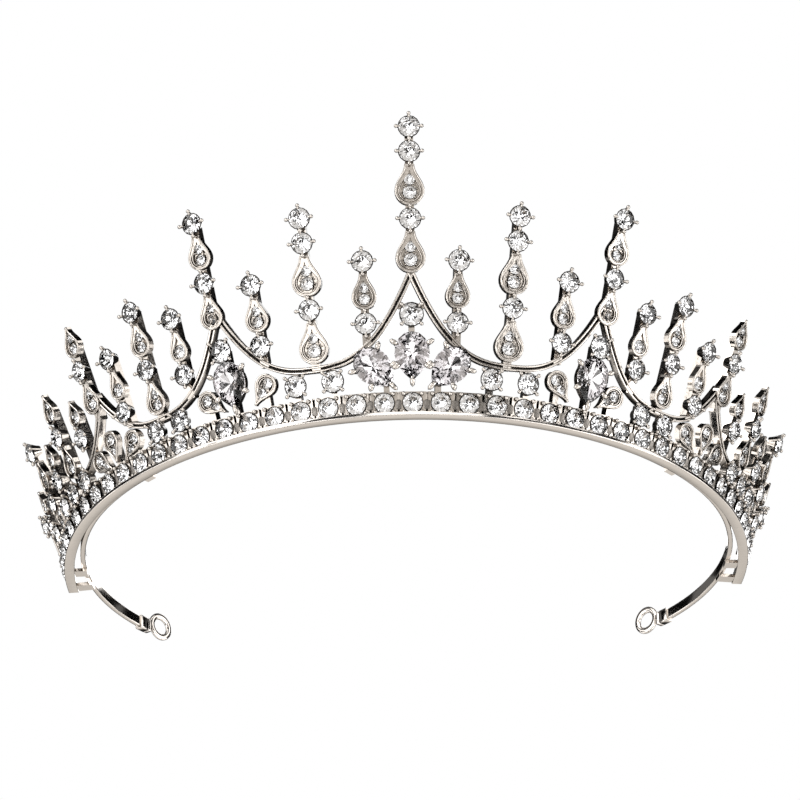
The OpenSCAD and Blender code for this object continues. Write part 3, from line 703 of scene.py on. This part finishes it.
def swagHeight(swag, place):
    # The low point's height plus the rise to either end
    start, end, lowAt, low, upFrom, upTo = swag
    left = np.clip((lowAt - place) / max(0.01, lowAt - start), 0, None)
    right = np.clip((place - lowAt) / max(0.01, end - lowAt), 0, None)
    return low + np.where(place <= lowAt, (upFrom - low) * drape(left), (upTo - low) * drape(right))


def swagPlaces(swag, look):
    # Places along a swag: from its low point they go by the power crowd, so they are closest at the high ends
    start, end, lowAt = swag[:3]
    t = np.linspace(0, 1, look["steps"] + 1)
    if end == lowAt:
        return start + (end - start) * (1 - (1 - t) ** look["crowd"])
    before, after = np.clip(1 - 2 * t, 0, 1) ** look["crowd"], np.clip(2 * t - 1, 0, 1) ** look["crowd"]
    u = np.where(t < 0.5, 1 - before, 1 + after)
    return np.where(u < 1, start + (lowAt - start) * u, lowAt + (end - lowAt) * (u - 1))


def swagPiece(look):
    # Two rounded ribs with a groove between them, one profile carried along each swag, square to its path
    w, groove, foot = look["width"] / 2, look["width"] * look["grooveWide"], look["grooveFoot"]
    back, front, floor = layout["back"], look["front"], look["front"] - look["groove"]
    profile = softCorners([[-w, back], [w, back], [w, front], [groove, front], [groove * foot, floor],
                           [-groove * foot, floor], [-groove, front], [-w, front]], look["soft"])
    points, faces, picks, count = [], [], [], 0
    around = np.arange(len(profile))
    # Painted shade: faces in the groove take the dark seat shadow finish
    inGroove = (around >= look["grooveFrom"]) & (around <= look["grooveTo"])
    for swag in swags:
        place = swagPlaces(swag, look)
        for way in (-1, 1):
            path = np.stack([way * place * layout["pitch"], swagHeight(swag, place)], 1)
            along = np.gradient(path, axis=0)
            across = np.stack([-along[:, 1], along[:, 0]], 1) / np.linalg.norm(along, axis=1)[:, None]
            flat = path[:, None] + across[:, None] * profile[None, :, :1]
            depth = np.broadcast_to(profile[None, :, 1], flat.shape[:2])
            ring = crownPoints(flat[..., 0], flat[..., 1], depth)
            quads = tubeFaces(len(path), len(profile))
            quads = quads[:, ::-1] if way < 0 else quads
            caps = capFaces(len(path), len(profile))
            points.append(ring.reshape(-1, 3))
            faces += (quads + count).tolist() + [[v + count for v in cap[::way]] for cap in caps]
            picks += np.tile(inGroove, len(path) - 1).astype(int).tolist() + [0, 0]
            count += ring.shape[0] * ring.shape[1]
    return np.concatenate(points), faces, picks


points, faces, picks = swagPiece(swagLook)
# The second finish paints shade in the swags' grooves
swagRibs = makePiece("swagRibs", points, faces, [crownMetal, seatShadow], sharp=50, picks=picks)
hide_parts(*[f"swag_{part}_{side}" for part in ("inner", "middle", "outer", "end")
                        for side in ("left", "right")])


def leaning(up, out):
    # A point of the leaning face as (distance from the row, height)
    return [up * sinF + out * cosF, layout["rowZ"] + up * cosF - out * sinF]


def sweptStrip(name, profile, turns, ears, finish, replaced, sharp=40):
    # A profile carried round the row or the headband, closed at both ends
    rings = sweepRing(profile, turns, ears)
    faces = tubeFaces(len(turns), len(profile)).tolist() + capFaces(len(turns), len(profile))
    piece = makePiece(name, rings, faces, finish, sharp=sharp)
    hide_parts(*replaced)
    return piece


# The rail's section: a flat plate below, and a leaning strip with a hollow between two flanges
channelLook = {"front": -0.72, "hollow": -1.67, "back": -1.8, "flange": 2.0, "past": 0.55, "chamfer": 0.1,
               "soft": 0.12, "steps": 260}
front, back, flange = channelLook["front"], channelLook["back"], channelLook["flange"]
plateIn, plateOut, plateT = layout["plateIn"], layout["plateOut"], layout["plateT"]
railEnd = float(turnOf((layout["sideStones"] + channelLook["past"]) * layout["pitch"]))
foot = (plateT - layout["rowZ"] + front * sinF) / cosF
backFoot = (plateT - layout["rowZ"] + back * sinF) / cosF
over = max(0.0, plateIn - leaning(backFoot, back)[0])
channel = [
    [plateIn, 0], [plateOut - channelLook["chamfer"], 0],
    [plateOut, channelLook["chamfer"]], [plateOut, plateT],
    leaning(foot, front), leaning(-flange, front), leaning(-flange, channelLook["hollow"]),
    leaning(flange, channelLook["hollow"]), leaning(flange, front), leaning(layout["railTop"], front),
    leaning(layout["railTop"], back), [plateIn, plateT + over * cosF / sinF],
]
sweptStrip("railChannel", softCorners(channel, channelLook["soft"], 3),
           np.linspace(-railEnd, railEnd, channelLook["steps"]), False, bandMetal, ["rail_plate"])

bandLook = {"gap": 0.02, "soft": 0.3, "steps": 320}
low, high = layout["bandZ"], layout["bandZ"] + layout["bandH"]
bandOut = plateIn - bandLook["gap"]
bandIn = bandOut - layout["bandT"]
strip = softCorners([[bandIn, low], [bandOut, low], [bandOut, high], [bandIn, high]], bandLook["soft"], 5)
sweptStrip("headbandStrip", strip, np.linspace(-layout["bandTo"], layout["bandTo"], bandLook["steps"]), True,
           bandMetal, ["headband"])

# Stamped eyelets, and crimps folded round the headband's ends. folds holds a crimp's steps from its inner end:
# how far along each lies, and its scale of the crimp's section
loopLook = {"wide": 3.3, "tall": 3.2, "holeWide": 1.95, "holeTall": 1.75, "thick": 0.42, "square": 0.6,
            "steps": 48, "around": 12, "wrap": 0.4, "soft": 0.45, "past": 0.6,
            "folds": ((-3.4, 0.98), (-3.4 + 0.12, 1.0), (-1.1, 1.0), (-0.95, 0.86), (-0.75, 0.86),
                      (-0.6, 1.0), (0.0, 0.94), (0.7, 0.5), (1.3, 0.3))}


def eyelet(look):
    # A flat oval ring with rounded edges: a superellipse section carried round an ellipse, in (along, up, out)
    a = 2 * math.pi * np.arange(look["steps"]) / look["steps"]
    b = 2 * math.pi * np.arange(look["around"]) / look["around"]
    middleR = np.array([(look["wide"] + look["holeWide"]) / 2, (look["tall"] + look["holeTall"]) / 2])
    halfR = np.array([(look["wide"] - look["holeWide"]) / 2, (look["tall"] - look["holeTall"]) / 2])
    across, through = (np.sign(v) * np.abs(v) ** look["square"] for v in (np.cos(b), np.sin(b)))
    reach = middleR + across[None, :, None] * halfR
    flat = np.stack([np.cos(a), np.sin(a)], 1)[:, None] * reach
    z = np.broadcast_to(look["thick"] * through, flat.shape[:2])
    points = np.concatenate([flat, z[..., None]], -1).reshape(-1, 3)
    return points, tubeFaces(look["steps"], look["around"], True).tolist()


def crimp(look):
    # A folded sleeve round the strip's end: a soft rectangle in (out, up), narrowed towards the eyelet
    halfT, halfH = layout["bandT"] / 2 + look["wrap"], layout["bandH"] / 2 + look["wrap"]
    section = softCorners([[-halfT, -halfH], [halfT, -halfH], [halfT, halfH], [-halfT, halfH]], look["soft"], 4)
    n, count = len(section), len(look["folds"])
    rings = [np.concatenate([np.full((n, 1), x), section[:, 1:] * k, section[:, :1] * k], 1)
             for x, k in look["folds"]]
    faces = tubeFaces(count, n)[:, ::-1].tolist() + [cap[::-1] for cap in capFaces(count, n)]
    return np.concatenate(rings), faces


def endLoops(look):
    # An eyelet and a crimp on the ear arc's middle line, at each end of the headband
    middleR = layout["earR"] + bandOut - layout["bandT"] / 2
    ring, ringFaces = eyelet(look)
    sleeve, sleeveFaces = crimp(look)
    points, faces, count = [], [], 0
    for way in (-1, 1):
        for shape, own, turn, up in (
                (ring, ringFaces, layout["loopTurn"], layout["loopZ"]),
                (sleeve, sleeveFaces, layout["bandTo"] + look["past"], layout["bandZ"] + layout["bandH"] / 2)):
            a = math.radians(turn)
            along, out = np.array([math.cos(a), math.sin(a), 0]), np.array([math.sin(a), -math.cos(a), 0])
            origin = np.array([earC[0] + middleR * math.sin(a),
                               earC[1] - middleR * math.cos(a) + layout["ringY"], up])
            placed = origin + shape @ np.array([along, [0, 0, 1.0], out])
            placed[:, 0] *= way
            points.append(placed)
            faces += [[v + count for v in (face if way > 0 else face[::-1])] for face in own]
            count += len(placed)
    return np.concatenate(points), faces


points, faces = endLoops(loopLook)
eyelets = makePiece("endEyelets", points, faces, bandMetal, sharp=60)
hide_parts("end_loop_left", "end_loop_right")

# Dark sunk plates between the rail's stones, painted shade in the gaps
gapLook = {"wide": 1.25, "tall": 2.0, "up": -0.34, "edge": 0.3, "low": -0.35, "thick": 0.4, "dome": 0.08,
           "domeWide": 0.8}
x, y, up = gapLook["wide"] / 2, gapLook["tall"] / 2, gapLook["up"]
corners = softCorners([[-x, -y], [x, -y], [x, y], [-x, y]], gapLook["edge"], 2)
n = len(corners)
plate = np.concatenate([np.c_[corners, np.full(n, up - gapLook["thick"])], np.c_[corners, np.full(n, up)],
                        np.c_[corners * gapLook["domeWide"], np.full(n, up + gapLook["dome"])]])
plateFaces = tubeFaces(3, n).tolist() + [list(range(2 * n, 3 * n))]
gaps = [(*crownFrame(i + 0.5, gapLook["low"]), 1.0)
        for i in range(-layout["sideStones"], layout["sideStones"])]
points, faces = copies(plate, plateFaces, gaps)
railGaps = makePiece("railGaps", points, faces, sunkShadeMetal)
print("metalwork made")

studio = {"floorUp": -0.47, "floorSize": 9.0, "floorColour": (0.86, 0.85, 0.84)}  # in metres


def plainStage(name, points, finish):
    # A flat sheet with four corners, which stays out of the part
    mesh = bpy.data.meshes.new(name)
    mesh.from_pydata(points, [], [[0, 1, 2, 3]])
    mesh.materials.append(finish)
    thing = bpy.data.objects.new(name, mesh)
    bpy.context.scene.collection.objects.link(thing)
    return thing


def plainFinish(name, colour, roughness=0.9):
    # One even matt colour
    finish = bpy.data.materials.new(name)
    finish.use_nodes = True
    shader = finish.node_tree.nodes["Principled BSDF"]
    shader.inputs["Base Color"].default_value = (*colour, 1)
    shader.inputs["Roughness"].default_value = roughness
    return finish


# The floor lies well below and is kept out of what stones and metal mirror
size, up = studio["floorSize"], studio["floorUp"]
floor = plainStage("floor", [(-size, -size, up), (size, -size, up), (size, size, up), (-size, size, up)],
                   plainFinish("floorFinish", studio["floorColour"]))
floor.visible_glossy = False
floor.visible_transmission = False


def studioWorld(look):
    # The camera sees plain white. What the object mirrors is a room of light and dark cells, with an even
    # stretch ahead, the same even tone from paper below and behind, and a dark part above and behind
    world = bpy.data.worlds.new("studioWorld")
    world.use_nodes = True
    n, l = world.node_tree.nodes, world.node_tree.links
    room, white = n["Background"], n.new("ShaderNodeBackground")
    place, cells = n.new("ShaderNodeTexCoord"), n.new("ShaderNodeTexVoronoi")
    split = n.new("ShaderNodeSeparateColor")
    ramp, calm, ease, blend = (n.new("ShaderNodeValToRGB"), n.new("ShaderNodeVectorMath"),
                               n.new("ShaderNodeMapRange"), n.new("ShaderNodeMix"))
    above, dim = n.new("ShaderNodeVectorMath"), n.new("ShaderNodeMapRange")
    under, paper = n.new("ShaderNodeVectorMath"), n.new("ShaderNodeMapRange")
    spread = n.new("ShaderNodeMath")
    rays, choose = n.new("ShaderNodeLightPath"), n.new("ShaderNodeMixShader")
    cells.feature = "SMOOTH_F1"
    cells.inputs["Scale"].default_value = look["cells"]
    cells.inputs["Smoothness"].default_value = look["soften"]
    for stop, tone in enumerate(("dark", "light")):
        ramp.color_ramp.elements[stop].position = look[tone + "At"]
        ramp.color_ramp.elements[stop].color = (*look[tone], 1)
    calm.operation = "DOT_PRODUCT"
    calm.inputs[1].default_value = look["ahead"]
    setRange(ease, look["calmFrom"], look["calmTo"])
    blend.data_type = "RGBA"
    blend.inputs["B"].default_value = (*look["calm"], 1)
    white.inputs["Color"].default_value = (1, 1, 1, 1)
    under.operation, spread.operation = "DOT_PRODUCT", "MAXIMUM"
    under.inputs[1].default_value = look["under"]
    setRange(paper, look["paperFrom"], look["paperTo"])
    above.operation = "DOT_PRODUCT"
    above.inputs[1].default_value = look["darkWay"]
    setRange(dim, look["darkFrom"], look["darkTo"])
    setRange(dim, look["strength"], look["behind"], "To")
    l.new(place.outputs["Generated"], cells.inputs["Vector"])
    l.new(cells.outputs["Color"], split.inputs["Color"])
    l.new(split.outputs["Red"], ramp.inputs["Fac"])
    l.new(place.outputs["Generated"], calm.inputs[0])
    l.new(calm.outputs["Value"], ease.inputs["Value"])
    l.new(place.outputs["Generated"], under.inputs[0])
    l.new(under.outputs["Value"], paper.inputs["Value"])
    l.new(ease.outputs["Result"], spread.inputs[0])
    l.new(paper.outputs["Result"], spread.inputs[1])
    l.new(spread.outputs["Value"], blend.inputs["Factor"])
    l.new(ramp.outputs["Color"], blend.inputs["A"])
    l.new(blend.outputs["Result"], room.inputs["Color"])
    l.new(place.outputs["Generated"], above.inputs[0])
    l.new(above.outputs["Value"], dim.inputs["Value"])
    l.new(dim.outputs["Result"], room.inputs["Strength"])
    l.new(rays.outputs["Is Camera Ray"], choose.inputs["Fac"])
    l.new(room.outputs["Background"], choose.inputs[1])
    l.new(white.outputs["Background"], choose.inputs[2])
    l.new(choose.outputs["Shader"], n["World Output"].inputs["Surface"])
    return world


worldLook = {"cells": 5.5, "soften": 0.01, "darkAt": 0.44, "lightAt": 0.49, "dark": (0.01, 0.01, 0.011),
             "light": (1.9, 1.88, 1.85), "calm": (0.74, 0.71, 0.67), "ahead": (0.03, -0.9, -0.44),
             "calmFrom": 0.93, "calmTo": 0.985, "darkWay": (0.0, 0.7, 0.71), "darkFrom": 0.27, "darkTo": 0.5,
             "under": (0.0, 0.86, -0.51), "paperFrom": 0.6, "paperTo": 0.85, "behind": 0.07, "strength": 1.0}
bpy.context.scene.world = studioWorld(worldLook)

lamps = {
    "keyLamp": {"at": (-0.8, -0.7, 0.8), "size": 0.6, "power": 4.0},
    "sideLamp": {"at": (1.1, -0.5, -0.1), "size": 0.5, "power": 2.5},
    "lowLamp": {"at": (-0.5, -0.7, -0.44), "size": 0.35, "power": 1.2},
    "backLamp": {"at": (0.3, 1.1, 0.8), "size": 0.7, "power": 4.0},
}
middle = Vector((0, 0, 0.03))
for name, look in lamps.items():
    light = bpy.data.lights.new(name, "AREA")
    light.size, light.energy = look["size"], look["power"]
    lamp = bpy.data.objects.new(name, light)
    lamp.location = look["at"]
    lamp.rotation_euler = (middle - lamp.location).to_track_quat("-Z", "Y").to_euler()
    bpy.context.scene.collection.objects.link(lamp)

# The camera's place in metres, its turn, rise and roll in degrees, and its lens and sensor in millimetres
view = {"at": (-0.01659, -0.53231, -0.27807), "azimuth": 1.63968, "elevation": 29.75068, "roll": -1.48268,
        "lens": 129.857, "sensor": 36.0, "near": 0.01, "far": 50.0}
az, el, roll = (math.radians(view[k]) for k in ("azimuth", "elevation", "roll"))
ahead = Vector((math.sin(az) * math.cos(el), math.cos(az) * math.cos(el), math.sin(el)))
level = Vector((math.cos(az), -math.sin(az), 0))
upright = level.cross(ahead)
right = math.cos(roll) * level + math.sin(roll) * upright
top = math.cos(roll) * upright - math.sin(roll) * level
lens = bpy.data.cameras.new("camera")
lens.lens, lens.sensor_width = view["lens"], view["sensor"]
lens.clip_start, lens.clip_end = view["near"], view["far"]
camera = bpy.data.objects.new("camera", lens)
camera.matrix_world = Matrix((*[(right[k], top[k], -ahead[k], view["at"][k]) for k in range(3)], (0, 0, 0, 1)))
bpy.context.scene.collection.objects.link(camera)
bpy.context.scene.camera = camera
bpy.context.scene.view_settings.view_transform = "Standard"
